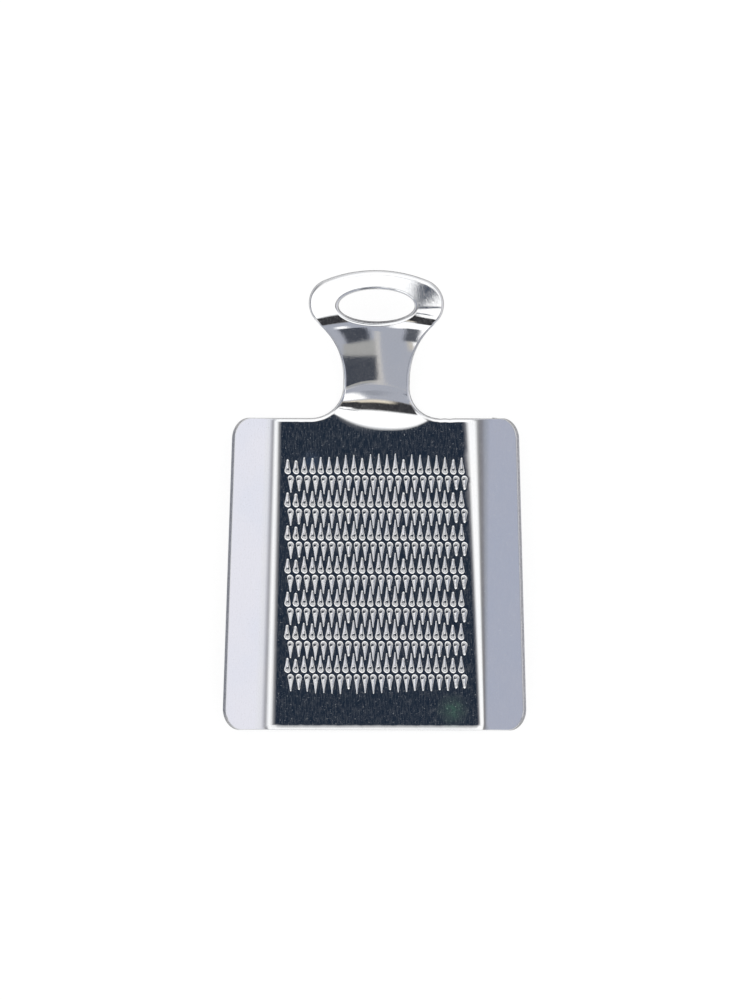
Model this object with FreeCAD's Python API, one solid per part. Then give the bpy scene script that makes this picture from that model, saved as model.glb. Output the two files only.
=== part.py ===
"""One-piece hand grater pressed from polished stainless sheet.

A flat panel carries rows of chiselled teeth. Its long sides are folded up
into two wings, and its back edge runs into a cranked handle with an oval
hanging hole. Millimetres, +Z up, handle towards +Y. The origin is under the
middle of the plate, on the surface that the panel lies on.
"""
import FreeCAD, Part
import math
import os

from FreeCAD import Vector

# Sheet
SHEET = 1.5                # thickness of the stainless sheet
EDGE_BREAK = 0.4           # bevel that breaks every cut edge, top side and underside

# Panel and wings
BODY_LENGTH = 94.0         # panel from back edge to foot edge
PANEL_WIDTH = 55.4         # flat width between the two bends, at the back edge
SPLAY = 1.8                # degrees that each bend line opens towards the foot
BEND_RADIUS = 9.5          # inside radius of the bends along the wings
WING_ANGLE = 40.0          # degrees that a wing leans up from the panel
WING_WIDTH = 10.7          # flat width of a wing, measured up its slope
CORNER_RADIUS = 6.5        # outer corners of the wings

# Handle, sizes in plan
SHOULDER_RADIUS = 9.5      # hollow between the back edge and the neck
NECK_WIDTH = 20.2
NECK_STRAIGHT = 2.7        # parallel stretch of the neck
WAIST_RADIUS = 23.0        # hollow sides where the neck opens into the ring
RING_WIDTH = 41.2
RING_SIDE_RADIUS = 7.5
RING_END_RADIUS = 47.0     # shallow curve of the ring's far end

# Handle, sizes in side view
NECK_ANGLE = 35.0          # degrees that the neck climbs
RING_ANGLE = 15.0          # degrees that the ring climbs
ROOT_RADIUS = 12.0         # bend from the panel up into the neck, on top
CREST_RADIUS = 18.0        # bend from the neck over into the ring, on top
CREST_SETBACK = 6.3        # from the crest back to the widest line of the ring

# Hanging hole, sizes in the plane of the ring
HOLE_WIDTH = 23.6
HOLE_LENGTH = 10.8
HOLE_SETBACK = 1.8         # from the hole's middle to the widest line of the ring

# Teeth: pairs of rows stand back to back, one row pointing each way
PAIR_PITCH = 10.0          # from one pair of rows to the next
TOOTH_PITCH = 2.5          # along a row
TOOTH_GAP = 0.4            # flat metal left between neighbours in a row
ROW_GAP = 0.3              # between the round ends of the two rows of a pair
ROW_STAGGER = 0.9          # sideways step between the two rows of a pair
BACK_TOOTH_LENGTH = 5.2    # teeth whose tips point at the handle
TIP_OVERLAP = 1.4          # how far the tips of two facing rows pass each other
END_MARGIN = 10.0          # least bare metal beyond the first and the last tips
GOUGE_DEPTH = 0.7          # deepest point of a gouge
GOUGE_SETBACK = 1.5        # from the round end to that deepest point
THORN_HEIGHT = 0.8         # thorn of metal that the chisel pushes up
THORN_LEAN = 0.15          # how far the thorn leans out past the round end
ROUND_END_SIDES = 6        # facets round the blunt end of a tooth

# Places that follow from the sizes above
SPREAD = 200.0             # longer than the part, for tools that cut right across it
RING_SIDE_X = RING_WIDTH / 2 - RING_SIDE_RADIUS
WAIST_X = NECK_WIDTH / 2 + WAIST_RADIUS
WAIST_DROP = math.sqrt((WAIST_RADIUS + RING_SIDE_RADIUS) ** 2 - (WAIST_X - RING_SIDE_X) ** 2)
RING_END_DROP = math.sqrt((RING_END_RADIUS - RING_SIDE_RADIUS) ** 2 - RING_SIDE_X ** 2)
RING_RISE = RING_END_RADIUS - RING_END_DROP
HANDLE_REACH = SHOULDER_RADIUS + NECK_STRAIGHT + WAIST_DROP + RING_RISE
OVERALL_LENGTH = BODY_LENGTH + HANDLE_REACH
FOOT_Y = -OVERALL_LENGTH / 2
BACK_Y = FOOT_Y + BODY_LENGTH
NECK_Y = BACK_Y + SHOULDER_RADIUS
WAIST_Y = NECK_Y + NECK_STRAIGHT
RING_Y = WAIST_Y + WAIST_DROP
ROOT_Y = BACK_Y + ROOT_RADIUS * math.tan(math.radians(NECK_ANGLE / 2))
CREST_Y = RING_Y - CREST_SETBACK
TOOTH_WIDTH = TOOTH_PITCH - TOOTH_GAP
FOOT_TOOTH_LENGTH = PAIR_PITCH - ROW_GAP + TIP_OVERLAP - BACK_TOOTH_LENGTH
PAIR_SPAN = BACK_TOOTH_LENGTH + ROW_GAP + FOOT_TOOTH_LENGTH
PAIRS = int((BODY_LENGTH - 2 * END_MARGIN - PAIR_SPAN) / PAIR_PITCH) + 1
FIRST_PAIR_Y = (FOOT_Y + BACK_Y + (PAIRS - 1) * PAIR_PITCH) / 2
FIRST_ROW_ROOM = PANEL_WIDTH + 2 * (BACK_Y - FIRST_PAIR_Y - TOOTH_WIDTH) * math.tan(math.radians(SPLAY))
TEETH_PER_ROW = int((FIRST_ROW_ROOM - ROW_STAGGER + TOOTH_GAP) / TOOTH_PITCH)


def rounded_path(corners, radii):
    """Edges of a polyline whose inner corners are rounded by tangent arcs."""
    edges = []
    start = corners[0]
    for before, corner, after, radius in zip(corners, corners[1:], corners[2:], radii):
        inward = (before - corner).normalize()
        onward = (after - corner).normalize()
        half_turn = (math.pi - inward.getAngle(onward)) / 2
        tangent = radius * math.tan(half_turn)
        bisector = (inward + onward).normalize()
        middle = corner + bisector * (radius / math.cos(half_turn) - radius)
        first = corner + inward * tangent
        last = corner + onward * tangent
        edges.append(Part.makeLine(start, first))
        edges.append(Part.Arc(first, middle, last).toShape())
        start = last
    edges.append(Part.makeLine(start, corners[-1]))
    return edges


def bent_sheet(corners, radii, side):
    """Section of a bent sheet: its top line, and the same line one sheet lower.

    radii are those of the top line; side is the direction that the section faces.
    """
    steps = [(b - a).normalize() for a, b in zip(corners, corners[1:])]
    normals = [side.cross(step) for step in steps]
    lower = [corners[0] - normals[0] * SHEET]
    lower_radii = []
    for corner, radius, one, two in zip(corners[1:], radii, normals, normals[1:]):
        middle = (one + two).normalize()
        lower.append(corner - middle * (SHEET / middle.dot(one)))
        hollow = one.cross(two).dot(side) > 0
        lower_radii.append(radius + SHEET if hollow else radius - SHEET)
    lower.append(corners[-1] - normals[-1] * SHEET)
    top = rounded_path(corners, radii)
    bottom = rounded_path(lower, lower_radii)
    ends = [Part.makeLine(a, b) for a, b in ((corners[0], lower[0]), (corners[-1], lower[-1]))]
    return Part.Face(Part.Wire(Part.__sortEdges__(top + bottom + ends)))


def wing_side():
    """One half of the tray: half of the panel, the bend and the right-hand wing."""
    lean = math.radians(WING_ANGLE)
    tangent = BEND_RADIUS * math.tan(lean / 2)
    slope = Vector(math.cos(lean), 0, math.sin(lean))
    fold = Vector(tangent, 0, SHEET)
    corners = [Vector(-PANEL_WIDTH, 0, SHEET), fold, fold + slope * (tangent + WING_WIDTH)]
    section = bent_sheet(corners, [BEND_RADIUS], Vector(0, -1, 0))
    side = section.extrude(Vector(0, 2 * SPREAD, 0)).translated(Vector(0, -SPREAD, 0))
    side.rotate(Vector(), Vector(0, 0, 1), SPLAY)
    side.translate(Vector(PANEL_WIDTH / 2, BACK_Y, 0))
    room = Part.makeBox(SPREAD, BODY_LENGTH, 2 * SPREAD, Vector(0, FOOT_Y, -SPREAD))
    return side.common(room)


def tray():
    """Panel and both wings, with the wings' outer corners rounded."""
    right = wing_side()
    whole = right.fuse(right.mirror(Vector(), Vector(1, 0, 0))).removeSplitter()
    corners = [edge for edge in whole.Edges if edge.Length < 1.2 * SHEET]
    return whole.makeFillet(min(CORNER_RADIUS, 0.9 * WING_WIDTH), corners)


def arc(centre, start, end):
    """Arc of less than half a turn about centre."""
    toward = ((start - centre) + (end - centre)).normalize()
    return Part.Arc(start, centre + toward * start.distanceToPoint(centre), end).toShape()


def handle_plan():
    """Plan outline of the handle, from inside the panel to the ring's far end."""
    half_neck = NECK_WIDTH / 2
    shoulder_centre = Vector(half_neck + SHOULDER_RADIUS, NECK_Y, 0)
    waist_centre = Vector(WAIST_X, WAIST_Y, 0)
    side_centre = Vector(RING_SIDE_X, RING_Y, 0)
    end_centre = Vector(0, RING_Y - RING_END_DROP, 0)
    inside = Vector(shoulder_centre.x, BACK_Y - SHEET, 0)
    shoulder = Vector(shoulder_centre.x, BACK_Y, 0)
    neck = Vector(half_neck, NECK_Y, 0)
    waist = Vector(half_neck, WAIST_Y, 0)
    cheek = waist_centre + (side_centre - waist_centre).normalize() * WAIST_RADIUS
    brow = end_centre + (side_centre - end_centre).normalize() * RING_END_RADIUS
    right = Part.Wire([
        Part.makeLine(inside, shoulder),
        arc(shoulder_centre, shoulder, neck),
        Part.makeLine(neck, waist),
        arc(waist_centre, waist, cheek),
        arc(side_centre, cheek, brow),
        arc(end_centre, brow, end_centre + Vector(0, RING_END_RADIUS, 0)),
    ])
    left = right.mirror(Vector(), Vector(1, 0, 0))
    foot = Part.makeLine(inside, Vector(-inside.x, inside.y, 0))
    return Part.Face(Part.Wire(Part.__sortEdges__(right.Edges + left.Edges + [foot])))


def handle():
    """Cranked handle: its side view run across, trimmed to its plan, with the hole."""
    neck_lean = math.radians(NECK_ANGLE)
    ring_lean = math.radians(RING_ANGLE)
    root = Vector(0, ROOT_Y, SHEET)
    crest = Vector(0, CREST_Y, SHEET + (CREST_Y - ROOT_Y) * math.tan(neck_lean))
    ring_way = Vector(0, math.cos(ring_lean), math.sin(ring_lean))
    corners = [Vector(0, BACK_Y - 2 * SHEET, SHEET), root, crest, crest + ring_way * OVERALL_LENGTH]
    section = bent_sheet(corners, [ROOT_RADIUS, CREST_RADIUS], Vector(1, 0, 0))
    strip = section.extrude(Vector(2 * SPREAD, 0, 0)).translated(Vector(-SPREAD, 0, 0))
    plan = handle_plan().extrude(Vector(0, 0, 2 * SPREAD)).translated(Vector(0, 0, -SPREAD))
    to_hole = (CREST_SETBACK - HOLE_SETBACK) / math.cos(ring_lean)
    hole = Part.Face(Part.Wire(Part.Ellipse(Vector(), HOLE_WIDTH / 2, HOLE_LENGTH / 2).toShape()))
    hole = hole.extrude(Vector(0, 0, 2 * OVERALL_LENGTH)).translated(Vector(0, 0, -OVERALL_LENGTH))
    hole.rotate(Vector(), Vector(1, 0, 0), RING_ANGLE)
    hole.translate(crest + ring_way * to_hole)
    return strip.common(plan).cut(hole)


def sharp_edges(shape):
    """Edges where two faces meet at a real angle, and not smoothly."""
    found = []
    for edge in shape.Edges:
        middle = edge.valueAt((edge.FirstParameter + edge.LastParameter) / 2)
        faces = shape.ancestorsOfType(edge, Part.Face)
        normals = [face.normalAt(*face.Surface.parameter(middle)) for face in faces]
        if len(normals) == 2 and normals[0].getAngle(normals[1]) > math.radians(45):
            found.append(edge)
    return found


def facet(*corners):
    """Flat face with these corner points."""
    return Part.Face(Part.makePolygon(corners + corners[:1]))


def tooth(length):
    """Outline and facets of one tooth: round end at the origin, tip towards +Y."""
    radius = TOOTH_WIDTH / 2
    flank = math.asin(radius / (length - radius))
    sweep = math.pi + 2 * flank
    tip = Vector(0, length, 0)
    deep = Vector(0, GOUGE_SETBACK, -GOUGE_DEPTH)
    peak = Vector(0, -THORN_LEAN, THORN_HEIGHT)
    rim = []
    crest = []
    for step in range(ROUND_END_SIDES + 1):
        angle = flank - sweep * step / ROUND_END_SIDES
        rim.append(Vector(radius * math.cos(angle), radius + radius * math.sin(angle), 0))
        share = math.sin(math.pi * step / ROUND_END_SIDES) ** 0.7
        crest.append(rim[step] + (peak - rim[step]) * share)
    facets = [facet(tip, rim[0], deep), facet(tip, rim[-1], deep)]
    facets += [facet(rim[0], rim[1], crest[1]), facet(rim[-1], rim[-2], crest[-2])]
    facets += [facet(rim[0], deep, crest[1]), facet(rim[-1], deep, crest[-2])]
    for near in range(1, ROUND_END_SIDES - 1):
        facets.append(facet(rim[near], rim[near + 1], crest[near + 1], crest[near]))
        facets.append(facet(crest[near], crest[near + 1], deep))
    return Part.makePolygon([tip] + rim + [tip]), facets


def toothed(plate):
    """The plate with the flat top of its panel given every outline and its facets."""
    level = [face for face in plate.Faces if abs(face.CenterOfMass.z - SHEET) < SHEET / 1000]
    flat_top = max(level, key=lambda face: face.Area)
    outlines = [flat_top.OuterWire]
    skin = [face for face in plate.Faces if not face.isSame(flat_top)]
    rows = [(tooth(BACK_TOOTH_LENGTH), 1), (tooth(FOOT_TOOTH_LENGTH), -1)]
    first_x = -(TEETH_PER_ROW - 1) * TOOTH_PITCH / 2
    for pair in range(PAIRS):
        for (outline, facets), way in rows:
            y = FIRST_PAIR_Y - pair * PAIR_PITCH + way * ROW_GAP / 2
            for number in range(TEETH_PER_ROW):
                x = first_x + number * TOOTH_PITCH - way * ROW_STAGGER / 2
                place = FreeCAD.Placement(Vector(x, y, SHEET), Vector(0, 0, 1), 90 - 90 * way)
                outlines.append(outline.transformed(place.toMatrix()))
                skin += [face.transformed(place.toMatrix()) for face in facets]
    skin.append(Part.Face(outlines))
    shell = Part.Shell(skin)
    shell.sewShape()
    return Part.Solid(shell)


def grater_plate():
    """The whole grater: one sheet, with its cut edges broken and its teeth raised."""
    plate = tray().fuse(handle()).removeSplitter()
    plate = plate.makeChamfer(min(EDGE_BREAK, 0.4 * SHEET), sharp_edges(plate))
    return toothed(plate)


os.makedirs("parts", exist_ok=True)
grater_plate().exportStep("parts/grater_plate.step")
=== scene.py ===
"""Hand grater pressed from one polished stainless sheet, on a white floor.

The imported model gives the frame. One dense mesh stands for the plate: both
skins of the bent sheet, its rounded cut edges, the dished root of the handle
and every chiselled tooth. Lengths are millimetres until the mesh is made.
"""

import bpy
import math
import random

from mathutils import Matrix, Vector, kdtree
from mathutils.geometry import delaunay_2d_cdt


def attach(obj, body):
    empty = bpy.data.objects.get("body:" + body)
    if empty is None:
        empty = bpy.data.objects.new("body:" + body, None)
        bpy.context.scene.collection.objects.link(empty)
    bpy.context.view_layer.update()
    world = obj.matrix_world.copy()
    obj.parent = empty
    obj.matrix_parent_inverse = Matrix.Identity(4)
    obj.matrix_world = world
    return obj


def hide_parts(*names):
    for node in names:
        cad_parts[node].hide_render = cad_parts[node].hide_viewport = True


MM = 0.001
UP = Vector((0, 0, 1))

# Sheet and tray
SHEET = 1.5
LOW_EDGE = 0.35                       # rounding of the cut edge, underside
FOOT_Y = -69.48
BACK_Y = 24.72
PANEL_WIDTH = 55.4                    # between the bends, at the back edge
SPLAY = math.radians(1.45)            # each bend line, off the middle line
SIDE_SPLAY = math.radians(1.9)        # each side of the blank
BEND_RADIUS = 9.5                     # as drawn; the pressed radii vary about it
LEFT_BEND = (7.8, 10.7, 0.6)          # radius at the back, at the foot, and how it runs between
RIGHT_BEND = (13.0, 3.4, 0.85)
RIGHT_TUCK = 0.0045                   # the right bend runs this much straighter than the left
BEND_EASE = 2.5                       # width over which a bend's curve sets in
WING_ANGLE = math.radians(40.0)
WING_WIDTH = 11.1                     # flat part of the wing at the back edge
CORNER_RADIUS = 6.5

# Handle, plan
SHOULDER_RADIUS = 9.5
NECK_HALF = 10.05
WAIST_Y = 36.64
WAIST_RADIUS = 21.4
RING_SIDE = (12.76, 59.05)            # centre of the ring's rounded side
RING_SIDE_RADIUS = 7.58
RING_END_RADIUS = 41.2
HOLE_CENTRE_Y = 58.2
HOLE_HALF_WIDTH = 11.4
HOLE_HALF_LENGTH = 4.9
HANDLE_BOW = 0.37                     # the pressed handle is bowed this far to its right
BOW_END = 66.0

# Handle, side view: a soft root bend that bulges into the panel
ROOT_START = 18.4                     # where the sheet begins to climb
ROOT_LOW_X = 3.0                      # the bulge reaches furthest here
ROOT_SAG = 0.0283                     # and draws back to the sides with the square of the distance
ROOT_MEET = 28.9                      # where the panel's and the neck's lines cross
ROOT_SLANT = 0.069                    # that crossing runs askew by this much
ROOT_LEAST = 13.0                     # tightest radius, out at the shoulders
NECK_START = 37.2                     # above it the root bend is over everywhere
NECK_FOOT = math.radians(37.5)        # climb of the neck at its foot
NECK_HEAD = math.radians(33.0)        # and at its head
CREST_START = 50.9                    # crest between neck and ring
CREST_END = 56.6
RING_FOOT = math.radians(15.5)        # climb of the ring at the crest
RING_HEAD = math.radians(14.5)        # and at its end
RING_TIP = 71.0                       # past the ring's end
NECK_DISH = 0.0095                    # hollow across the neck, per millimetre
RING_DISH = 0.003
DISH_START = 22.0                     # the neck's dish sets in between these
DISH_END = 40.0
DISH_LEAN = 0.55                      # earlier on the right of the middle line,
LEAN_FADE = (4.0, 16.0)               # but no longer so out here
SHOULDER_FADE = (12.0, 19.0)          # below the waist the dish ends out here
RING_ONSET = (46.0, 58.0)             # here the neck's dish gives way to the ring's
ROOT_REACH = 19.0                     # the root of the handle ends this far out

# Sections of the cut edge, from the skin outwards: width of the roll-over, its slope where it begins
# and where it ends, the radius that follows, and how far the sheared wall leans. Slopes in degrees.
WING_RIM = (0.15, 3.0, 14.0, 0.16, 8.0)
BACK_RIM = (0.75, 4.0, 15.0, 0.3, 18.0)
FOOT_RIM = (1.35, 4.4, 6.4, 0.12, 3.0)
NECK_RIM = (0.5, 8.0, 30.0, 0.3, 14.0)
RING_SIDE_RIM = (0.3, 8.0, 30.0, 0.3, 14.0)
RING_END_RIM = (0.9, 22.0, 36.0, 0.3, 14.0)
HOLE_RIM = (0.5, 9.0, 24.0, 0.35, 23.0)
LOW_TURN = math.radians(135.0)        # slope halfway round the underside's rounding
CREASE = 0.1                          # the roll-over starts within this width
WAVER = 0.05                          # unevenness of the roll-over, a share of its width
WAVES = ((1.0, 1.9, 0.0), (0.7, 0.83, 1.0))  # its waves: size, turn per millimetre and phase
NECK_RIM_ONSET = 6.0                  # the neck's section sets in over this length,
RING_RIM_ONSET = (46.0, 53.0)         # the ring's between these
RING_FACING = (0.3, 0.9)              # from the ring's sides to its end, by the way the cut faces

# Teeth
PAIRS = 7
PAIR_PITCH = 10.0
FIRST_PAIR_Y = 7.57
TOOTH_PITCH = 2.5
GRID_SHIFT = 0.26                     # the block of teeth sits this far right of the middle
ROW_GAP = 1.0                         # between the round ends of a pair's two rows
ROW_STAGGER = 1.0                     # the two rows are out of line by this much
BACK_SLIP = 0.07                      # how far a row may be out of line
FOOT_SLIP = 0.14
TOOTH_HALF = 0.75                     # half width of the gouge at its round end
TIP_HALF = 0.09                       # radius of its tip
TIP_MARGIN = 0.35                     # the gouge's bottom stays this far from its tip
BLUNT_BELOW = 5.1                     # a shorter tooth has a blunter tip
BLUNTING = 0.22                       # by this much per millimetre
FLANK_HOLLOW = 0.07                   # how far the gouge's sides are drawn in
SKEW = 0.15                           # the chisel is held a little askew, which shows
SKEW_FADE = (0.8, 2.0)                # up to here
TURN_SLIP = 0.006                     # a tooth may be turned by this much, in radians
LIP_TIP = 0.05                        # width of the raised lip round the gouge: at its tip,
LIP_SIDE = 0.16                       # where it is widest
LIP_ROUND = 0.3                      # and at its round end
LIP_SLOPE = 0.24                      # how steeply the lip rises to the gouge
THORN_HEIGHT = 0.45
THORN_FOOT = 0.12                     # shares of the way in at which the thorn begins
THORN_CREST = 0.42                    # and is highest
THORN_SPREAD = (0.85, 1.1)            # thorns differ in height by this share
THORN_POWER = 0.6                     # how far the thorn runs round the end
CLIMB_POWER = 0.85                    # how the gouge's bottom climbs to the tip
SLOT_HALF = 0.46                      # flat bottom that the chisel leaves
SLOT_SKEW = 0.5                       # its torn edge runs askew
SLOT_FADE = 2.0                       # it has narrowed to nothing this far along
SLOT_FLAT = 0.8                       # share of the slot's width down to which its bottom is flat
CAP_AT = -0.25                        # where the torn cap reaches over the slot, and how much
CAP_WIDTH = 0.28
CAP_REACH = 0.75
# Cut of the two kinds of tooth: depth, how far the deepest line is from the round end, length of the
# flat bottom and how far it is out of the middle.
BACK_CUT = (0.36, 1.38, 0.8, 0.06)
FOOT_CUT = (0.42, 0.8, 0.5, 0.3)
# Lengths of the teeth along a row; every row of a kind comes from the same set of chisels.
BACK_TEETH = (4.5, 4.2, 5.1, 4.9, 5.2, 5.2, 5.3, 5.8, 5.9, 4.9, 6.1,
              6.2, 6.0, 6.3, 4.6, 6.0, 5.9, 5.7, 5.8, 5.2, 4.6, 5.1)
FOOT_TEETH = (5.2, 4.8, 5.3, 5.8, 5.7, 5.9, 6.0, 4.6, 6.0, 5.7, 5.9,
              5.7, 4.8, 5.5, 5.3, 5.0, 5.0, 5.1, 4.8, 5.0, 4.3, 4.3)
# The two rows of a pair: lengths, which way the tips point, cut and slip.
ROWS = (
    (BACK_TEETH, 1, BACK_CUT, BACK_SLIP),
    (FOOT_TEETH, -1, FOOT_CUT, FOOT_SLIP),
)
BLOCK_MARGIN = 0.6                    # plain sheet round the block of teeth
SLIP_SEED = 11

# Finishes, in the order of the mesh's materials; the sheared wall's finish is darkened with painted shade
POLISHED, TORN, SHEARED_PAINTED_SHADE = 0, 1, 2

# Mesh density
EDGE_STEP = 0.7                       # along the cut edges
PANEL_STEP = 2.2
HANDLE_STEP = 0.9
HANDLE_COLUMNS = 22                   # to each side of the middle line
ROOT_MARGIN = 1.0                     # the handle's grid begins within this much of the root
BEND_STEPS = 18                       # across one bend,
WING_STEPS = 5                        # and across the flat of a wing
ROLL_STEPS = 3                        # across the roll-over of a cut edge,
TURN_STEPS = 4                        # down to the sheared wall
WALL_ROW = ROLL_STEPS + TURN_STEPS + 2  # and the row that ends that wall
HOLE_STEPS = 96
FLANK_STEPS = 5
TOOTH_STEPS = 7                       # round half of a gouge's end
# Loops of a tooth: on its lip, as shares of the lip's width outside the gouge, then inside the
# gouge, as shares of the way from its outline to its bottom.
LIP_LOOPS = (1.0, 0.92, 0.08)
INNER_LOOPS = (0.06, 0.16, 0.28, 0.41, 0.56, 0.76)
RIM_CLEARANCE = 0.45                  # a grid keeps this far from the cut edges
PROBE = 0.01                          # slopes are measured this far to each side
SAME_PLACE = 4                        # decimals that two places share to be one
LEAST_GAP = 1e-7                      # between places of a triangulation
INSIDE_ONLY = 1                       # its kind: triangles within the outline


# ---------------------------------------------------------------- the bent sheet

def half_panel(y):
    """Half width of the flat panel at y."""
    return PANEL_WIDTH / 2 + (BACK_Y - y) * math.tan(SPLAY)


def smooth(low, high, value):
    """0 below low, 1 above high, with an even curve between."""
    share = min(max((value - low) / (high - low), 0.0), 1.0)
    return share * share * (3 - 2 * share)


def handle_stations(x):
    """Where the handle's side view changes at x, as (y, sine of the climb)."""
    meet = ROOT_MEET - ROOT_SLANT * x
    start = ROOT_START + ROOT_SAG * (x - ROOT_LOW_X) ** 2
    start = min(start, meet - ROOT_LEAST * math.tan(NECK_FOOT / 2))
    radius = (meet - start) / math.tan(NECK_FOOT / 2)
    return [
        (start, 0.0),
        (start + radius * math.sin(NECK_FOOT), math.sin(NECK_FOOT)),
        (NECK_START, math.sin(NECK_FOOT)),
        (CREST_START, math.sin(NECK_HEAD)),
        (CREST_END, math.sin(RING_FOOT)),
        (RING_TIP, math.sin(RING_HEAD)),
    ]


def handle_rise(x, y):
    """Height of the handle's top skin above the panel's."""
    stations = handle_stations(x)
    rise = 0.0
    for (begin, low), (end, high) in zip(stations, stations[1:]):
        reach = min(y, end)
        if reach <= begin:
            break
        sine = low + (high - low) * (reach - begin) / (end - begin)
        cosines = math.sqrt(1 - low * low) + math.sqrt(1 - sine * sine)
        rise += (reach - begin) * (low + sine) / cosines
    lean = DISH_LEAN * x * (1 - smooth(*LEAN_FADE, abs(x)))
    shoulder = smooth(*SHOULDER_FADE, abs(x)) if y < WAIST_Y else 0.0
    ring = smooth(*RING_ONSET, y)
    neck = smooth(DISH_START - lean, DISH_END, y) * (1 - shoulder) * (1 - ring)
    return rise + (NECK_DISH * neck + RING_DISH * ring) * x * x / 2


def bend_start(side, y):
    """Radius of the bend on one side, and how far out it starts, at y."""
    back, foot, trend = RIGHT_BEND if side > 0 else LEFT_BEND
    radius = back + (foot - back) * max((BACK_Y - y) / (BACK_Y - FOOT_Y), 0.0) ** trend
    tuck = RIGHT_TUCK * (BACK_Y - y) if side > 0 else 0.0
    return radius, half_panel(y) - tuck + (BEND_RADIUS - radius) * math.tan(WING_ANGLE / 2)


def tray_section(p, y):
    """Lean of the tray's skin at p, with its distance out and its rise."""
    radius, start = bend_start(p, y)
    past = (abs(p) - start) * math.cos(SPLAY)
    s = past + BEND_EASE / 2
    if s < BEND_EASE:
        s = max(s, 0.0)
        return s * s / (2 * BEND_EASE * radius), abs(p), s ** 3 / (6 * BEND_EASE * radius)
    first = BEND_EASE / (2 * radius)
    lean = min(first + (s - BEND_EASE) / radius, WING_ANGLE)
    flat = s - BEND_EASE - (lean - first) * radius
    run = BEND_EASE / 2 + radius * (math.sin(lean) - math.sin(first)) + flat * math.cos(lean)
    rise = BEND_EASE ** 2 / (6 * radius) + radius * (math.cos(first) - math.cos(lean))
    return lean, start + run / math.cos(SPLAY), rise + flat * math.sin(lean)


def top_skin(p, y):
    """Point of the sheet's top skin. p is the distance across, measured along the skin."""
    _, x, rise = tray_section(p, y)
    return Vector((math.copysign(x, p), y, SHEET + rise + handle_rise(p, y)))


def skin_normal(p, y):
    """Upward normal of the top skin."""
    lean, _, _ = tray_section(p, y)
    if y < BACK_Y and abs(p) > ROOT_REACH:
        across = math.copysign(math.sin(lean) * math.cos(SPLAY), p)
        return Vector((-across, -math.sin(lean) * math.sin(SPLAY), math.cos(lean)))
    along_x = (handle_rise(p + PROBE, y) - handle_rise(p - PROBE, y)) / (2 * PROBE)
    along_y = (handle_rise(p, y + PROBE) - handle_rise(p, y - PROBE)) / (2 * PROBE)
    return Vector((-along_x, -along_y, 1.0)).normalized()


# ---------------------------------------------------------------- its cut edges

def line_run(start, end, facing):
    """Points along a straight cut, each with the direction that the cut faces."""
    start = Vector(start)
    end = Vector(end)
    count = max(1, round((end - start).length / (2 * EDGE_STEP)))
    return [(start.lerp(end, i / count), Vector(facing)) for i in range(count)]


def arc_run(centre, radius, first, last, outward):
    """The same along an arc, from one angle to another; outward is -1 on a hollow one."""
    count = max(2, math.ceil(radius * abs(last - first) / EDGE_STEP))
    run = []
    for i in range(count):
        angle = first + (last - first) * i / count
        ray = Vector((math.cos(angle), math.sin(angle)))
        run.append((Vector(centre) + ray * radius, ray * outward))
    return run


def side_line(y):
    """Half width of the blank's tray at y, corners aside."""
    back = half_panel(BACK_Y) + BEND_RADIUS * WING_ANGLE + WING_WIDTH
    return back + (BACK_Y - y) * math.tan(SIDE_SPLAY)


def right_outline():
    """Right half of the blank's outline, from the foot's middle round to the ring's end."""
    slope = Vector((math.cos(SIDE_SPLAY), math.sin(SIDE_SPLAY)))
    foot_y = FOOT_Y + CORNER_RADIUS
    back_y = BACK_Y - CORNER_RADIUS
    foot_centre = Vector((side_line(foot_y) - CORNER_RADIUS / slope.x, foot_y))
    back_centre = Vector((side_line(back_y) - CORNER_RADIUS / slope.x, back_y))
    shoulder = (NECK_HALF + SHOULDER_RADIUS, BACK_Y + SHOULDER_RADIUS)
    waist = Vector((NECK_HALF + WAIST_RADIUS, WAIST_Y))
    cheek = Vector(RING_SIDE) - waist
    cheek_angle = math.atan2(cheek.y, cheek.x)
    end_reach = RING_END_RADIUS - RING_SIDE_RADIUS
    end_centre_y = RING_SIDE[1] - math.sqrt(end_reach ** 2 - RING_SIDE[0] ** 2)
    brow_angle = math.atan2(RING_SIDE[1] - end_centre_y, RING_SIDE[0])
    quarter = math.pi / 2
    corner = slope * CORNER_RADIUS
    run = line_run((0, FOOT_Y), (foot_centre.x, FOOT_Y), (0, -1))
    run += arc_run(foot_centre, CORNER_RADIUS, -quarter, SIDE_SPLAY, 1)
    run += line_run(foot_centre + corner, back_centre + corner, slope)
    run += arc_run(back_centre, CORNER_RADIUS, SIDE_SPLAY, quarter, 1)
    run += line_run((back_centre.x, BACK_Y), (shoulder[0], BACK_Y), (0, 1))
    run += arc_run(shoulder, SHOULDER_RADIUS, -quarter, -math.pi, -1)
    run += line_run((NECK_HALF, shoulder[1]), (NECK_HALF, WAIST_Y), (1, 0))
    run += arc_run(waist, WAIST_RADIUS, math.pi, cheek_angle, -1)
    run += arc_run(RING_SIDE, RING_SIDE_RADIUS, cheek_angle - math.pi, brow_angle, 1)
    run += arc_run((0, end_centre_y), RING_END_RADIUS, brow_angle, quarter, 1)
    run.append((Vector((0, end_centre_y + RING_END_RADIUS)), Vector((0, 1))))
    return run


def mirrored(run):
    """The same points on the other side of the middle line."""
    return [(Vector((-at.x, at.y)), Vector((-facing.x, facing.y)), *rest) for at, facing, *rest in run]


def bow(y):
    """How far the handle is bowed to its right at y."""
    share = (y - BACK_Y) / (BOW_END - BACK_Y)
    return HANDLE_BOW * math.sin(math.pi * share) if 0 < share < 1 else 0.0


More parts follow.
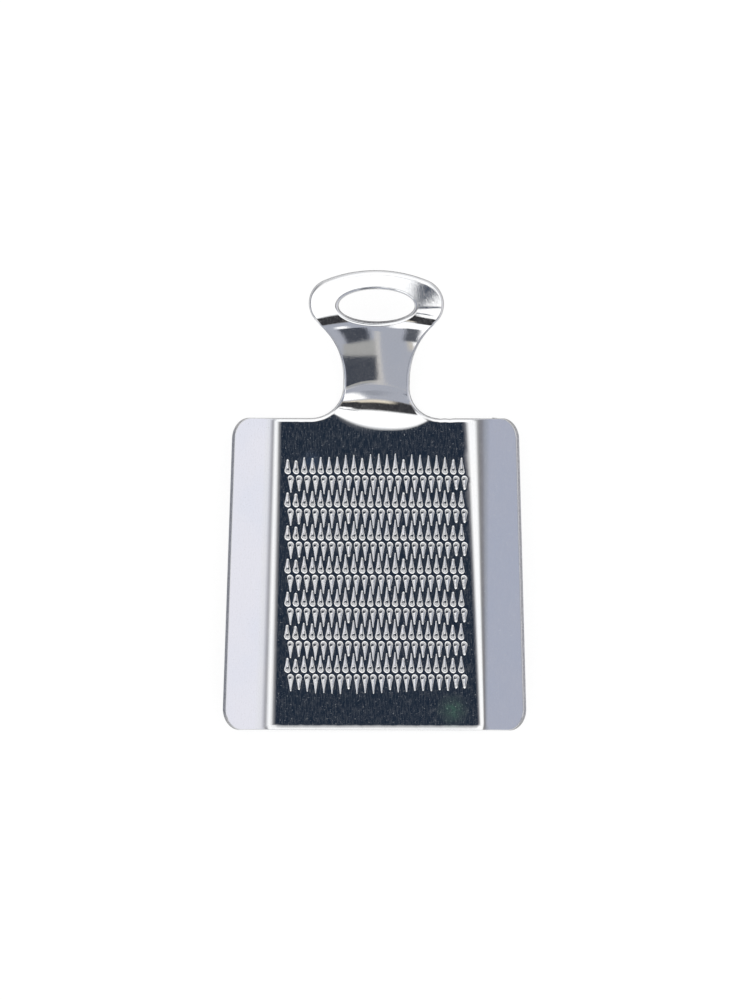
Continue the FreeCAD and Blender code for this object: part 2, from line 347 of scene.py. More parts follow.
def outline():
    """The blank's whole outline, anticlockwise; the handle is bowed, and set in where it leans."""
    right = right_outline()
    run = []
    for at, facing in right + mirrored(right[-2:0:-1]):
        if abs(at.x) < half_panel(BACK_Y) and at.y > 0:
            lean = skin_normal(at.x, at.y)
            at = at + Vector((lean.x, lean.y)) * (SHEET - LOW_EDGE) + Vector((bow(at.y), 0))
        run.append((at, facing))
    return run


def hole_edge():
    """The hanging hole's edge, clockwise, facing into the hole."""
    run = []
    centre = Vector((bow(HOLE_CENTRE_Y), HOLE_CENTRE_Y))
    for i in range(HOLE_STEPS):
        angle = -2 * math.pi * i / HOLE_STEPS
        at = Vector((HOLE_HALF_WIDTH * math.cos(angle), HOLE_HALF_LENGTH * math.sin(angle)))
        facing = -Vector((at.x / HOLE_HALF_WIDTH ** 2, at.y / HOLE_HALF_LENGTH ** 2)).normalized()
        run.append((at + centre, facing))
    return run


# ---------------------------------------------------------------- the mesh

class Skin:
    """Vertices, their normals and the faces of the plate, gathered piece by piece."""

    def __init__(self):
        self.points = []
        self.normals = []
        self.faces = []
        self.finishes = []

    def add(self, point, normal):
        """One vertex; returns its number."""
        self.points.append(point)
        self.normals.append(normal)
        return len(self.points) - 1

    def face(self, corners, finish):
        """One face, unless its corners fall together."""
        distinct = [corner for i, corner in enumerate(corners) if corner != corners[i - 1]]
        if len(distinct) > 2:
            self.faces.append(tuple(distinct))
            self.finishes.append(finish)

    def band(self, outer, inner, finish):
        """Faces between two closed loops of (place, vertex), the first one outside."""
        for i in range(len(outer)):
            corners = (outer[i - 1], inner[i - 1], inner[i], outer[i])
            self.face([vertex for _, vertex in corners], finish)


def blend(one, two, share):
    """Section of a cut edge between two others."""
    return tuple(a + (b - a) * share for a, b in zip(one, two))


def outer_rim(at, facing):
    """Section of the cut edge at a place of the outline."""
    past = abs(at.x) - half_panel(at.y)
    panel = BACK_RIM if at.y > 0 else FOOT_RIM
    tray = blend(panel, WING_RIM, smooth(0, BEND_RADIUS * WING_ANGLE, past))
    neck = blend(tray, NECK_RIM, smooth(BACK_Y, BACK_Y + NECK_RIM_ONSET, at.y))
    ring = blend(RING_SIDE_RIM, RING_END_RIM, smooth(*RING_FACING, facing.y))
    roll, *others = blend(neck, ring, smooth(*RING_RIM_ONSET, at.y))
    waver = sum(size * math.sin(pace * at.x + phase) for size, pace, phase in WAVES)
    return (roll * (1 + WAVER * waver), *others)


def rim_rows(rim):
    """Rows of a cut edge from top to underside: (inset, depth, slope)."""
    roll, first, last, radius, draft = rim
    first, last, draft = math.radians(first), math.radians(last), math.radians(draft)
    steep = math.pi / 2 - draft
    roll_depth = roll * (math.tan(first) + math.tan(last)) / 2
    wall = SHEET - LOW_EDGE - roll_depth - radius * (math.cos(last) - math.cos(steep))
    reach = roll + radius * (math.sin(steep) - math.sin(last)) + wall * math.tan(draft)
    rows = [(reach + CREASE, 0.0, 0.0)]
    for i in range(ROLL_STEPS + 1):
        share = i / ROLL_STEPS
        tangent = math.tan(first) + (math.tan(last) - math.tan(first)) * share
        depth = roll * share * (math.tan(first) + tangent) / 2
        rows.append((reach - roll * share, depth, math.atan(tangent)))
    for i in range(1, TURN_STEPS + 1):
        slope = last + (steep - last) * i / TURN_STEPS
        inset = reach - roll - radius * (math.sin(slope) - math.sin(last))
        rows.append((inset, roll_depth + radius * (math.cos(last) - math.cos(slope)), slope))
    rows.append((0.0, SHEET - LOW_EDGE, steep))
    for slope in (LOW_TURN, math.pi):
        inset = LOW_EDGE * (1 - math.sin(slope))
        rows.append((inset, SHEET - LOW_EDGE * (1 + math.cos(slope)), slope))
    return rows


def add_rim(skin, run, rims):
    """Cut edge along a closed run, with a section at each place. Returns its top and low loops."""
    sections = [rim_rows(rim) for rim in rims]
    rows = []
    for number in range(len(sections[0])):
        row = []
        for (at, facing), rim in zip(run, sections):
            inset, depth, slope = rim[number]
            place = at - facing * inset
            normal = skin_normal(place.x, place.y)
            step = facing * (2 * PROBE)
            ahead = top_skin(*(place + step)) - top_skin(*(place - step))
            outward = (ahead - normal * ahead.dot(normal)).normalized()
            point = top_skin(*place) - normal * depth
            faced = outward * math.sin(slope) + normal * math.cos(slope)
            row.append((place, skin.add(point, faced)))
        rows.append(row)
    for number in range(1, len(rows)):
        # the sheared wall's faces take the finish whose dark tint is painted shade
        skin.band(rows[number - 1], rows[number], SHEARED_PAINTED_SHADE if number == WALL_ROW else POLISHED)
    return rows[0], rows[-1]


def inside(loop, at):
    """Whether a place lies inside a loop of places."""
    within = False
    for (one, _), (two, _) in zip(loop, loop[1:] + loop[:1]):
        if (one.y > at.y) != (two.y > at.y):
            if at.x < one.x + (at.y - one.y) * (two.x - one.x) / (two.y - one.y):
                within = not within
    return within


def tray_grid():
    """Places across the tray, closer together round the bends."""
    places = []
    rows = round((BACK_Y - FOOT_Y) / PANEL_STEP)
    for row in range(rows + 1):
        y = FOOT_Y + (BACK_Y - FOOT_Y) * row / rows
        for side in (-1, 1):
            radius, start = bend_start(side, y)
            start -= BEND_EASE / 2
            bend = BEND_EASE + radius * WING_ANGLE
            columns = round(start / PANEL_STEP)
            across = [start * i / columns for i in range(columns)]
            across += [start + bend * i / BEND_STEPS for i in range(BEND_STEPS + 1)]
            across += [start + bend + WING_WIDTH * i / WING_STEPS for i in range(1, WING_STEPS)]
            places += [Vector((p * side, y)) for p in across if p > 0 or side > 0]
    return [at for at in places if abs(at.x) >= ROOT_REACH or at.y <= ROOT_START - ROOT_MARGIN]


def handle_grid():
    """Places over the handle and the dished root of it."""
    places = []
    for row in range(int((RING_TIP - ROOT_START + ROOT_MARGIN) / HANDLE_STEP)):
        y = ROOT_START - ROOT_MARGIN / 2 + row * HANDLE_STEP
        for column in range(-HANDLE_COLUMNS, HANDLE_COLUMNS + 1):
            places.append(Vector((column * HANDLE_STEP, y)))
    return [at for at in places if abs(at.x) < ROOT_REACH or at.y > BACK_Y]


def fill(skin, loops, holes, places, depth):
    """Triangles of one skin, depth below the top one.

    They join the places that lie within the first loop, outside the others and outside the holes.
    """
    outer = loops[0]
    near = kdtree.KDTree(sum(len(loop) for loop in loops))
    for number, (at, _) in enumerate(at for loop in loops for at in loop):
        near.insert((at.x, at.y, 0), number)
    near.balance()
    spots = []
    vertex = []
    owner = []
    edges = []
    for number, loop in enumerate(loops + holes):
        first = len(spots)
        for i, (at, index) in enumerate(loop):
            spots.append(at)
            vertex.append(index)
            owner.append(number)
            edges.append((first + i, first + (i + 1) % len(loop)))
    for at in places:
        clear = near.find((at.x, at.y, 0))[2] > RIM_CLEARANCE
        if clear and inside(outer, at) and not any(inside(loop, at) for loop in loops[1:]):
            normal = skin_normal(at.x, at.y)
            upward = -normal if depth else normal
            spots.append(at)
            vertex.append(skin.add(top_skin(at.x, at.y) - normal * depth, upward))
            owner.append(-1)
    result = delaunay_2d_cdt(spots, edges, [], INSIDE_ONLY, LEAST_GAP)
    source = [origin[0] for origin in result[3]]
    for face in result[2]:
        corners = [source[i] for i in face]
        owners = {owner[i] for i in corners}
        if len(owners) == 1 and owners.pop() > 0:
            continue                  # it spans a hole
        numbers = [vertex[i] for i in corners]
        skin.face(numbers[::-1] if depth else numbers, POLISHED)


# ---------------------------------------------------------------- teeth

def tooth_outline(length):
    """Half of a gouge's outline from tip to round end, which is at the origin.

    Each point comes with the way that it faces and its share of the way from tip to round end.
    """
    tip = TIP_HALF + BLUNTING * max(0.0, BLUNT_BELOW - length)
    turn = math.asin((TOOTH_HALF - tip) / (length - TOOTH_HALF - tip))
    ray = Vector((math.cos(turn), math.sin(turn)))
    shoulder = Vector((0, TOOTH_HALF)) + ray * TOOTH_HALF
    nose = Vector((0, length - tip)) + ray * tip
    half = [(Vector((0, length)), Vector((0, 1)), 0.0)]
    for i in range(FLANK_STEPS):
        share = i / FLANK_STEPS
        hollow = FLANK_HOLLOW * 4 * share * (1 - share)
        half.append((nose.lerp(shoulder, share) - ray * hollow, ray, share))
    for i in range(TOOTH_STEPS):
        angle = turn - (turn + math.pi / 2) * i / TOOTH_STEPS
        ray = Vector((math.cos(angle), math.sin(angle)))
        half.append((Vector((0, TOOTH_HALF)) + ray * TOOTH_HALF, ray, 1.0))
    half.append((Vector((0, 0)), Vector((0, -1)), 1.0))
    return half


def add_tooth(skin, centre, way, length, turn, cut, height):
    """One tooth. Returns its outer loop, which the panel is filled up to."""
    half = tooth_outline(length)
    around = half + mirrored(half[-2:0:-1])
    depth, setback, flat, shift = cut
    cosine = math.cos(turn) * way
    sine = math.sin(turn) * way

    def place(at):
        askew = at.y - SKEW * at.x * (1 - smooth(*SKEW_FADE, at.y))
        x = centre.x + at.x * cosine - askew * sine
        return Vector((x, centre.y + at.x * sine + askew * cosine))

    def vertex(spot, rise, normal=None):
        return skin.add(Vector((spot.x, spot.y, SHEET + rise)), normal)

    rays = []
    for at, facing, share in around:
        round_end = max(0.0, -facing.y)
        lip = LIP_TIP + (LIP_SIDE - LIP_TIP) * share + (LIP_ROUND - LIP_SIDE) * round_end
        spread = 1 - smooth(TOOTH_HALF, SLOT_FADE, at.y)
        across = (SLOT_HALF * at.x / TOOTH_HALF + shift) * spread
        cap = CAP_REACH * math.exp(-((facing.x - CAP_AT) / CAP_WIDTH) ** 2)
        slot = flat * round_end * (1 - cap)
        down = min(max(at.y, setback) - slot + SLOT_SKEW * across, length - TIP_MARGIN)
        sunk = depth * min((length - down) / (length - setback), 1.0) ** CLIMB_POWER
        thorny = round_end ** THORN_POWER
        rays.append((at, facing, lip, thorny, Vector((across, down)), sunk, spread))
    loops = []
    for out in LIP_LOOPS:
        loop = []
        for at, facing, lip, *_ in rays:
            spot = place(at + facing * lip * out)
            loop.append((spot, vertex(spot, LIP_SLOPE * (lip * (1 - out)), UP if out == 1 else None)))
        loops.append(loop)
    for inward in INNER_LOOPS:
        thorn = smooth(THORN_FOOT, THORN_CREST, inward) - smooth(THORN_CREST, 1, inward)
        loop = []
        for at, _, lip, thorny, bottom, sunk, _ in rays:
            rise = LIP_SLOPE * lip * (1 - inward) + height * thorny * thorn
            spot = place(at.lerp(bottom, inward))
            loop.append((spot, vertex(spot, rise - sunk * inward ** (1 + thorny))))
        loops.append(loop)
    floor = []
    known = {}
    for *_, bottom, sunk, spread in rays:
        key = (round(bottom.x, SAME_PLACE), round(bottom.y, SAME_PLACE))
        if key not in known:
            known[key] = vertex(place(bottom), -sunk, UP if spread > SLOT_FLAT else None)
        floor.append((bottom, known[key]))
    loops.append(floor)
    for outer, inner in zip(loops, loops[1:]):
        skin.band(outer, inner, TORN)
    for i in range(len(half) - 1):
        skin.face((floor[i][1], floor[-i][1], floor[-i - 1][1], floor[i + 1][1]), TORN)
    return loops[0]


def add_teeth(skin):
    """All rows of teeth. Returns the loops that they leave open in the panel."""
    draw = random.Random(SLIP_SEED)
    first_x = GRID_SHIFT - (len(BACK_TEETH) - 1) * TOOTH_PITCH / 2
    loops = []
    for pair in range(PAIRS):
        for lengths, way, cut, most in ROWS:
            slip = draw.uniform(-most, most)
            y = FIRST_PAIR_Y - pair * PAIR_PITCH + way * ROW_GAP / 2
            for number, length in enumerate(lengths):
                x = first_x + number * TOOTH_PITCH - way * ROW_STAGGER / 2 + slip
                turn = draw.uniform(-TURN_SLIP, TURN_SLIP)
                height = THORN_HEIGHT * draw.uniform(*THORN_SPREAD)
                gouge = length - LIP_TIP - LIP_ROUND
                loops.append(add_tooth(skin, Vector((x, y)), way, gouge, turn, cut, height))
    return loops


def grater_sheet():
    """The whole plate as one closed mesh."""
    skin = Skin()
    edge = outline()
    hole = hole_edge()
    top_outer, low_outer = add_rim(skin, edge, [outer_rim(at, facing) for at, facing in edge])
    top_hole, low_hole = add_rim(skin, hole, [HOLE_RIM] * len(hole))
    tooth_loops = add_teeth(skin)
    places = tray_grid()
    half_block = len(BACK_TEETH) * TOOTH_PITCH / 2 + BLOCK_MARGIN
    block_top = FIRST_PAIR_Y + max(BACK_TEETH) + BLOCK_MARGIN
    block_foot = FIRST_PAIR_Y - (PAIRS - 1) * PAIR_PITCH - max(FOOT_TEETH) - BLOCK_MARGIN
    clear = [at for at in places if abs(at.x) > half_block or not block_foot < at.y < block_top]
    fill(skin, [top_outer, top_hole], tooth_loops, clear + handle_grid(), 0.0)
    fill(skin, [low_outer, low_hole], [], places + handle_grid(), SHEET)
    mesh = bpy.data.meshes.new("grater_sheet")
    mesh.from_pydata([point * MM for point in skin.points], [], skin.faces)
    mesh.polygons.foreach_set("use_smooth", [True] * len(mesh.polygons))
    mesh.polygons.foreach_set("material_index", skin.finishes)
    mesh.update()
    normals = []
    for vertex, own in zip(mesh.vertices, skin.normals):
        normals.append(vertex.normal if own is None else own)
    mesh.normals_split_custom_set_from_vertices(normals)
    piece = bpy.data.objects.new("grater_sheet", mesh)
    bpy.context.scene.collection.objects.link(piece)
    return piece


# ---------------------------------------------------------------- node helpers

class Graph:
    """Short way to make and link nodes in one tree."""

    def __init__(self, tree):
        self.tree = tree
        tree.nodes.clear()

    def node(self, kind, inputs=None, **settings):
        """New node. inputs maps a socket's name or number to a value or a source."""
        node = self.tree.nodes.new(kind)
        for name, value in settings.items():
            setattr(node, name, value)
        for name, value in (inputs or {}).items():
            if isinstance(value, bpy.types.NodeSocket):
                self.tree.links.new(value, node.inputs[name])
            else:
                node.inputs[name].default_value = value
        return node

    def math(self, operation, one, two=0.0, clamp=False):
        """Result of one math node."""
        node = self.node("ShaderNodeMath", {0: one, 1: two}, operation=operation, use_clamp=clamp)
        return node.outputs[0]

    def ramp(self, value, stops):
        """Colour of a ramp whose stops are (place, colour)."""
        node = self.node("ShaderNodeValToRGB", {"Fac": value})
        elements = node.color_ramp.elements
        while len(elements) > 1:
            elements.remove(elements[-1])
        for i, (place, colour) in enumerate(stops):
            element = elements[0] if i == 0 else elements.new(place)
            element.position = place
            element.color = (*colour, 1.0)
        return node.outputs["Color"]

    def mask(self, value, low, high, curve="LINEAR"):
        """0 at low and 1 at high, and level beyond them."""
        limits = {"Value": value, "From Min": low, "From Max": high}
        return self.node("ShaderNodeMapRange", limits, interpolation_type=curve).outputs[0]

    def span(self, mask, low, high):
        """A mask stretched to run from low to high."""
        return self.node("ShaderNodeMapRange", {"Value": mask, "To Min": low, "To Max": high}).outputs[0]

    def window(self, value, low, high, soft):
        """1 between low and high, fading out over soft on both sides."""
        rise = self.mask(value, low - soft, low + soft, "SMOOTHSTEP")
        fall = self.mask(value, high - soft, high + soft, "SMOOTHSTEP")
        return self.math("SUBTRACT", rise, fall)

    def noise(self, place, scale, detail, roughness=0.5):
        """Height of a noise."""
        inputs = {"Vector": place, "Scale": scale, "Detail": detail, "Roughness": roughness}
        return self.node("ShaderNodeTexNoise", inputs).outputs["Fac"]

    def mix(self, share, one, two):
        """Colour between two colours."""
        node = self.node("ShaderNodeMix", {0: share, 6: one, 7: two}, data_type="RGBA")
        return node.outputs[2]


# ---------------------------------------------------------------- studio

def grey(value):
    """Neutral colour."""
    return (value, value, value)


LAMP = 1.35                           # brightest part of the studio that the metal sees
HORIZON = 90.0
NEAR_ZERO = 1e-6                      # least divisor, met straight overhead
NAVY = (0.015, 0.026, 0.046)
DUSK = (0.038, 0.038, 0.042)
SLATE = (0.062, 0.07, 0.09)
CREAM = (0.95, 0.86, 0.7)
GREY_CARD = (0.43, 0.43, 0.42)
LAVENDER = (0.455, 0.475, 0.54)
WHITE = grey(LAMP)
# What stands round the object, from overhead (0) down to the horizon (90), in degrees.
FRONT = (
    (0, NAVY), (9, NAVY), (13.5, WHITE), (31, WHITE), (33.5, DUSK), (41, DUSK),
    (43, CREAM), (44, CREAM), (46.5, LAVENDER), (90, LAVENDER),
)
BACK = (
    (0, NAVY), (9, NAVY), (14, WHITE), (32, WHITE), (40, grey(0.95)), (64, grey(0.95)),
    (78, (0.4, 0.4, 0.42)), (90, (0.3, 0.3, 0.32)),
)
RIGHT = (
    (0, NAVY), (5, NAVY), (12, (0.35, 0.35, 0.36)), (18, grey(1.0)), (25, grey(1.25)),
    (31, (0.95, 0.95, 0.97)), (36, (0.5, 0.5, 0.52)), (41, (0.46, 0.46, 0.5)),
    (46, (0.66, 0.66, 0.71)), (53, (0.9, 0.9, 0.95)), (62, (0.95, 0.95, 1.0)),
    (90, (0.97, 0.97, 1.07)),
)
LEFT = (
    (0, NAVY), (1.5, NAVY), (6, (0.25, 0.25, 0.27)), (10, grey(0.8)), (15, grey(1.22)),
    (29, grey(1.22)), (34, grey(0.9)), (38, (0.45, 0.45, 0.46)), (43, (0.27, 0.27, 0.28)),
    (51, (0.27, 0.27, 0.3)), (61, (0.38, 0.4, 0.46)), (80, (0.48, 0.51, 0.62)),
    (90, (0.5, 0.54, 0.64)),
)
# Cards and openings in front, each over the ones before it, in degrees: (colour, from and to overhead,
# from and to rightward, softness). Rightward is 0 straight ahead of the foot.
CARDS = (
    (GREY_CARD, 67.2, 95.0, -4.5, 3.2, 0.1),
    (SLATE, 70.4, 95.0, -4.5, 3.4, 0.08),
    (SLATE, 58.0, 67.2, -3.4, 2.4, 0.4),
    (WHITE, 53.0, 58.0, 0.0, 2.6, 0.5),
    ((0.68, 0.66, 0.64), 64.7, 95.0, -5.5, -4.5, 0.1),
    (WHITE, 46.5, 59.5, -22.0, -8.4, 1.0),
    (WHITE, 56.0, 67.0, -34.0, -14.8, 0.5),
    (WHITE, 67.0, 72.3, -34.0, -13.4, 0.4),
    ((0.1, 0.11, 0.13), 58.5, 67.2, -14.6, -11.0, 0.4),
    ((0.62, 0.58, 0.52), 67.2, 70.6, -13.3, -12.0, 0.25),
    (DUSK, 33.5, 43.5, -26.0, -12.5, 0.5),
    (DUSK, 40.0, 47.3, -27.0, -15.5, 0.6),
    (WHITE, 31.0, 35.6, -30.0, -18.8, 0.5),
    (DUSK, 33.5, 46.2, -2.6, 15.0, 1.4),
    ((0.35, 0.37, 0.42), 50.5, 57.0, -7.2, -5.0, 0.7),
    ((0.03, 0.045, 0.08), 30.65, 31.4, -23.8, -18.3, 0.15),
    ((0.04, 0.056, 0.09), 31.35, 31.8, -23.8, -17.2, 0.15),
)

FLOOR_TINT = 0.9
FLOOR_GLOW = 1.1
GLOW_SHARE = 0.7                      # of what the floor shows to the camera and in the metal
FLOOR_HALF = 6.0                      # half its width in metres
FLOOR_DROP = 0.0001                   # below the sheet's underside, in metres

PICTURE_HEIGHT = 0.3021               # metres that the camera takes in at the floor
LENS = 600.0                          # focal length and sensor in millimetres
SENSOR = 36.0
CAMERA_X = -0.0001                    # metres off the middle line
CAMERA_ROLL = math.radians(0.12)      # the object lies a touch askew to the camera
CAMERA_REACH = 50.0                   # how far it sees, in metres


def dimmed(colour):
    """A colour of the studio as a share of its lamp."""
    return [part / LAMP for part in colour]


def studio_world():
    """White room; metal sees a dark opening overhead in a bright ring, cards and dark corners."""
    world = bpy.data.worlds.new("studio")
    world.use_nodes = True
    graph = Graph(world.node_tree)
    view = graph.node("ShaderNodeTexCoord").outputs["Generated"]
    x, y, z = graph.node("ShaderNodeSeparateXYZ", {0: view}).outputs
    slope = graph.math("DEGREES", graph.math("ARCCOSINE", z))
    share = graph.math("DIVIDE", slope, HORIZON, clamp=True)

    def side(stops):
        return graph.ramp(share, [(angle / HORIZON, dimmed(colour)) for angle, colour in stops])

    along = graph.mix(graph.math("GREATER_THAN", y, 0.0), side(FRONT), side(BACK))
    across = graph.mix(graph.math("GREATER_THAN", x, 0.0), side(LEFT), side(RIGHT))
    level = graph.math("SUBTRACT", 1.0, graph.math("MULTIPLY", z, z))
    level = graph.math("MAXIMUM", level, NEAR_ZERO)
    weight = graph.math("DIVIDE", graph.math("MULTIPLY", x, x), level, clamp=True)
    colour = graph.mix(weight, along, across)
    turn = graph.math("DEGREES", graph.math("ARCTAN2", x, graph.math("MULTIPLY", y, -1.0)))
    for card, low, high, start, end, soft in CARDS:
        rows = graph.window(slope, low, high, soft)
        columns = graph.window(turn, start, end, soft)
        colour = graph.mix(graph.math("MULTIPLY", rows, columns), colour, (*dimmed(card), 1.0))
    studio = graph.node("ShaderNodeBackground", {"Color": colour, "Strength": LAMP})
    plain = graph.node("ShaderNodeBackground", {"Color": (1, 1, 1, 1), "Strength": 1.0})
    glossy = graph.node("ShaderNodeLightPath").outputs["Is Glossy Ray"]
    mixed = graph.node("ShaderNodeMixShader", {0: glossy, 1: plain.outputs[0], 2: studio.outputs[0]})
    graph.node("ShaderNodeOutputWorld", {"Surface": mixed.outputs[0]})
    bpy.context.scene.world = world


def new_material(name):
    """Empty material, with the graph to fill it."""
    material = bpy.data.materials.new(name)
    material.use_nodes = True
    return material, Graph(material.node_tree)


def white_floor():
    """Wide white floor that keeps a faint shadow of the object."""
    material, graph = new_material("white_floor")
    matt = graph.node("ShaderNodeBsdfDiffuse", {"Color": (*grey(FLOOR_TINT), 1)})
    glow = graph.node("ShaderNodeEmission", {"Color": (1, 1, 1, 1), "Strength": FLOOR_GLOW})
    rays = graph.node("ShaderNodeLightPath").outputs
    indirect = graph.math("ADD", rays["Is Glossy Ray"], rays["Is Transmission Ray"])
    seen = graph.math("ADD", rays["Is Camera Ray"], indirect, clamp=True)
    share = graph.math("MULTIPLY", seen, GLOW_SHARE)
    mixed = graph.node("ShaderNodeMixShader", {0: share, 1: matt.outputs[0], 2: glow.outputs[0]})
    graph.node("ShaderNodeOutputMaterial", {"Surface": mixed.outputs[0]})
    corners = [(FLOOR_HALF * x, FLOOR_HALF * y, 0) for x, y in ((-1, -1), (1, -1), (1, 1), (-1, 1))]
    mesh = bpy.data.meshes.new("floor")
    mesh.from_pydata(corners, [], [(0, 1, 2, 3)])
    mesh.materials.append(material)
    floor = bpy.data.objects.new("floor", mesh)
    floor.location.z = -FLOOR_DROP
    bpy.context.scene.collection.objects.link(floor)


def overhead_camera():
    """Long lens straight above the object, with the handle at the top of the picture."""
    data = bpy.data.cameras.new("camera")
    data.lens = LENS
    data.sensor_width = SENSOR
    data.clip_end = CAMERA_REACH
    camera = bpy.data.objects.new("camera", data)
    camera.location = (CAMERA_X, 0.0, PICTURE_HEIGHT * LENS / SENSOR)
    camera.rotation_euler = (0, 0, CAMERA_ROLL)
    bpy.context.scene.collection.objects.link(camera)
    bpy.context.scene.camera = camera


# ---------------------------------------------------------------- steel

# Noises of the steel: scale, detail and roughness; then the part of each that its mask stretches.
FINE_NOISE = (1.0, 3.0, 0.65)
COARSE_NOISE = (0.8, 4.0, 0.7)
DUST_NOISE = (1900.0, 1.0, 0.5)
TARNISH_NOISE = (650.0, 3.0, 0.5)
FILM_DETAIL = 2.0
STREAK_RANGE = (0.46, 0.72)
SPECK_RANGE = (0.66, 0.76)
FILM_RANGE = (0.4, 0.75)

# Polished sheet: how fine the grain is across and along, roughness, and how much of the metal the
# streaks and the specks hide. A bump is its strength and its height in metres.
POLISHED_GRAIN = (3300.0, 480.0)
POLISHED_ROUGH = (0.03, 0.08)
POLISHED_BUMP = (1.0, 0.0000025)
POLISHED_TINTS = ((0.0, (0.8, 0.8, 0.805)), (1.0, (0.77, 0.785, 0.805)))
FILM_SPREAD = 70.0
STREAK_DULLNESS = 0.075
SPECK_DULLNESS = 0.2
# Tarnish on the panel: middle, reach, tint and share of the metal that it hides.
TARNISH = (
    ((0.0235, -0.0635, 0.0015), 0.0062, (0.25, 0.85, 0.5, 1.0), 0.12),
    ((-0.0195, 0.0115, 0.0015), 0.0045, (0.3, 0.6, 1.0, 1.0), 0.07),
)
# Cut metal: grain, tints from the low places of the grain to the high ones, roughness and bump.
TORN_METAL = (
    (3800.0, 900.0),
    ((0.3, grey(0.78)), (0.7, grey(0.86))),
    (0.05, 0.14),
    (0.6, 0.00001),
)
# Sheared wall: its roughness is the dull sheared cut, but its tints are darker than steel, painted shade
# that draws the thin dark outline round the plate and the hole.
SHEARED_PAINTED_SHADE_METAL = (
    (2600.0, 1900.0),
    ((0.35, (0.26, 0.26, 0.27)), (0.65, (0.46, 0.46, 0.47))),
    (0.28, 0.5),
    (1.0, 0.00003),
)


def new_effect(name, inputs, outputs):
    """Empty shared effect and its graph. inputs and outputs map a socket's name to its kind."""
    group = bpy.data.node_groups.new(name, "ShaderNodeTree")
    for in_out, sockets in (("INPUT", inputs), ("OUTPUT", outputs)):
        for socket, kind in sockets.items():
            group.interface.new_socket(socket, in_out=in_out, socket_type="NodeSocket" + kind)
    return group, Graph(group)


def grain_group():
    """Polishing grain that runs lengthwise: a fine height, streaks of denser scratches, and specks."""
    group, graph = new_effect("lengthwise_grain", {"Across": "Float", "Along": "Float"},
                              {"Height": "Float", "Streaks": "Float", "Specks": "Float"})
    across, along = graph.node("NodeGroupInput").outputs[:2]
    spot = graph.node("ShaderNodeTexCoord").outputs["Object"]
    stretch = graph.node("ShaderNodeCombineXYZ", {0: across, 1: along, 2: across}).outputs[0]
    place = graph.node("ShaderNodeVectorMath", {0: spot, 1: stretch}, operation="MULTIPLY").outputs[0]
    fine = graph.noise(place, *FINE_NOISE)
    streaks = graph.mask(graph.noise(place, *COARSE_NOISE), *STREAK_RANGE)
    specks = graph.mask(graph.noise(spot, *DUST_NOISE), *SPECK_RANGE)
    graph.node("NodeGroupOutput", {"Height": fine, "Streaks": streaks, "Specks": specks})
    return group


def film_group():
    """Thin film left by handling: a soft patchy mask."""
    group, graph = new_effect("handling_film", {"Spread": "Float"}, {"Film": "Float"})
    spread = graph.node("NodeGroupInput").outputs["Spread"]
    spot = graph.node("ShaderNodeTexCoord").outputs["Object"]
    film = graph.mask(graph.noise(spot, spread, FILM_DETAIL), *FILM_RANGE)
    graph.node("NodeGroupOutput", {"Film": film})
    return group


def tarnish_group():
    """One patch of tarnish: a broken mask, densest round its middle."""
    group, graph = new_effect("tarnish_patch", {"Middle": "Vector", "Reach": "Float"}, {"Patch": "Float"})
    given = graph.node("NodeGroupInput").outputs
    spot = graph.node("ShaderNodeTexCoord").outputs["Object"]
    apart = graph.node("ShaderNodeVectorMath", {0: spot, 1: given["Middle"]}, operation="DISTANCE")
    near = graph.mask(apart.outputs["Value"], given["Reach"], 0.0, "SMOOTHSTEP")
    broken = graph.noise(spot, *TARNISH_NOISE)
    graph.node("NodeGroupOutput", {"Patch": graph.math("MULTIPLY", near, broken)})
    return group


def place_effect(graph, group, values):
    """Outputs of a shared effect, placed in a material with its own values."""
    return graph.node("ShaderNodeGroup", values, node_tree=group).outputs


def steel_surface(graph, lines, tint, metallic, rough, bump):
    """Surface of a finish, scratched by the grain's lines."""
    strength, distance = bump
    scratches = graph.node("ShaderNodeBump", {"Height": lines["Height"], "Strength": strength,
                                              "Distance": distance})
    steel = graph.node("ShaderNodeBsdfPrincipled", {"Base Color": tint, "Metallic": metallic,
                                                    "Roughness": rough, "Normal": scratches.outputs[0]})
    graph.node("ShaderNodeOutputMaterial", {"Surface": steel.outputs[0]})


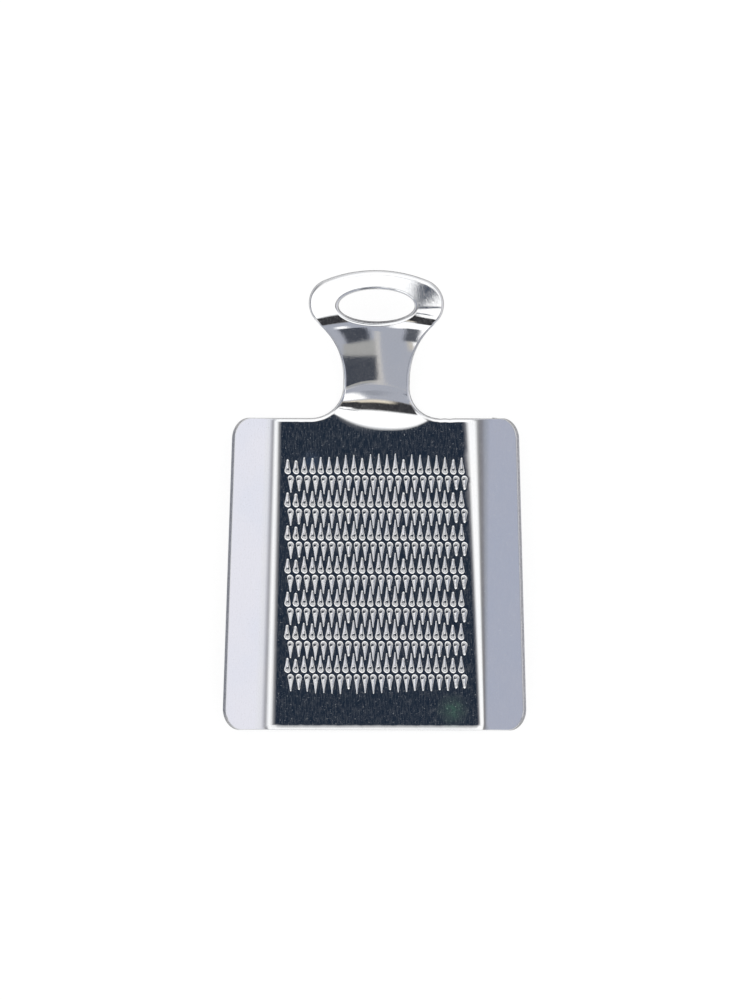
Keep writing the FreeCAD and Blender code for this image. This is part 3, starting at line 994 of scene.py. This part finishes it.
def polished_stainless(grain, film, tarnish):
    """Bright rolled sheet with a faint lengthwise grain, handling film and two patches of tarnish."""
    material, graph = new_material("polished_stainless")
    across, along = POLISHED_GRAIN
    lines = place_effect(graph, grain, {"Across": across, "Along": along})
    haze = place_effect(graph, film, {"Spread": FILM_SPREAD})
    tint = graph.ramp(haze["Film"], POLISHED_TINTS)
    rough = graph.span(lines["Streaks"], *POLISHED_ROUGH)
    dull = graph.math("ADD", graph.span(lines["Streaks"], 0.0, STREAK_DULLNESS),
                      graph.span(lines["Specks"], 0.0, SPECK_DULLNESS))
    for middle, reach, colour, hidden in TARNISH:
        patch = place_effect(graph, tarnish, {"Middle": middle, "Reach": reach})["Patch"]
        tint = graph.mix(patch, tint, colour)
        dull = graph.math("ADD", dull, graph.math("MULTIPLY", patch, hidden))
    steel_surface(graph, lines, tint, graph.math("SUBTRACT", 1.0, dull), rough, POLISHED_BUMP)
    return material


def cut_stainless(name, grain, metal):
    """Metal laid open by the chisel or the shear; the sheared wall's dark tints are painted shade."""
    material, graph = new_material(name)
    (across, along), tints, rough, bump = metal
    lines = place_effect(graph, grain, {"Across": across, "Along": along})
    tint = graph.ramp(lines["Height"], tints)
    steel_surface(graph, lines, tint, 1.0, graph.span(lines["Streaks"], *rough), bump)
    return material


# ---------------------------------------------------------------- the scene

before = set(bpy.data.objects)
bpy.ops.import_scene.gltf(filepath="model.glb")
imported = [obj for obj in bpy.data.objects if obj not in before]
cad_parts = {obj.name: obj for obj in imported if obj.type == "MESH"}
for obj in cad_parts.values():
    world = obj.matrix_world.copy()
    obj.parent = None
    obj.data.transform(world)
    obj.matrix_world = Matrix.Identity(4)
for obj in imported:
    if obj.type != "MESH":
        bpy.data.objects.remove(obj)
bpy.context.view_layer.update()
bpy.context.scene.view_settings.view_transform = "Standard"
studio_world()
white_floor()
overhead_camera()

grater = grater_sheet()
polish_grain = grain_group()
finishes = grater.data.materials      # in the order of the polished, the torn and the sheared finish, the last darkened with painted shade
finishes.append(polished_stainless(polish_grain, film_group(), tarnish_group()))
finishes.append(cut_stainless("torn_stainless", polish_grain, TORN_METAL))
# sheared wall: dull cut metal whose dark tint is painted shade for the outline
finishes.append(cut_stainless("sheared_stainless_painted_shade", polish_grain, SHEARED_PAINTED_SHADE_METAL))
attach(grater, "root")
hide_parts("grater_plate")
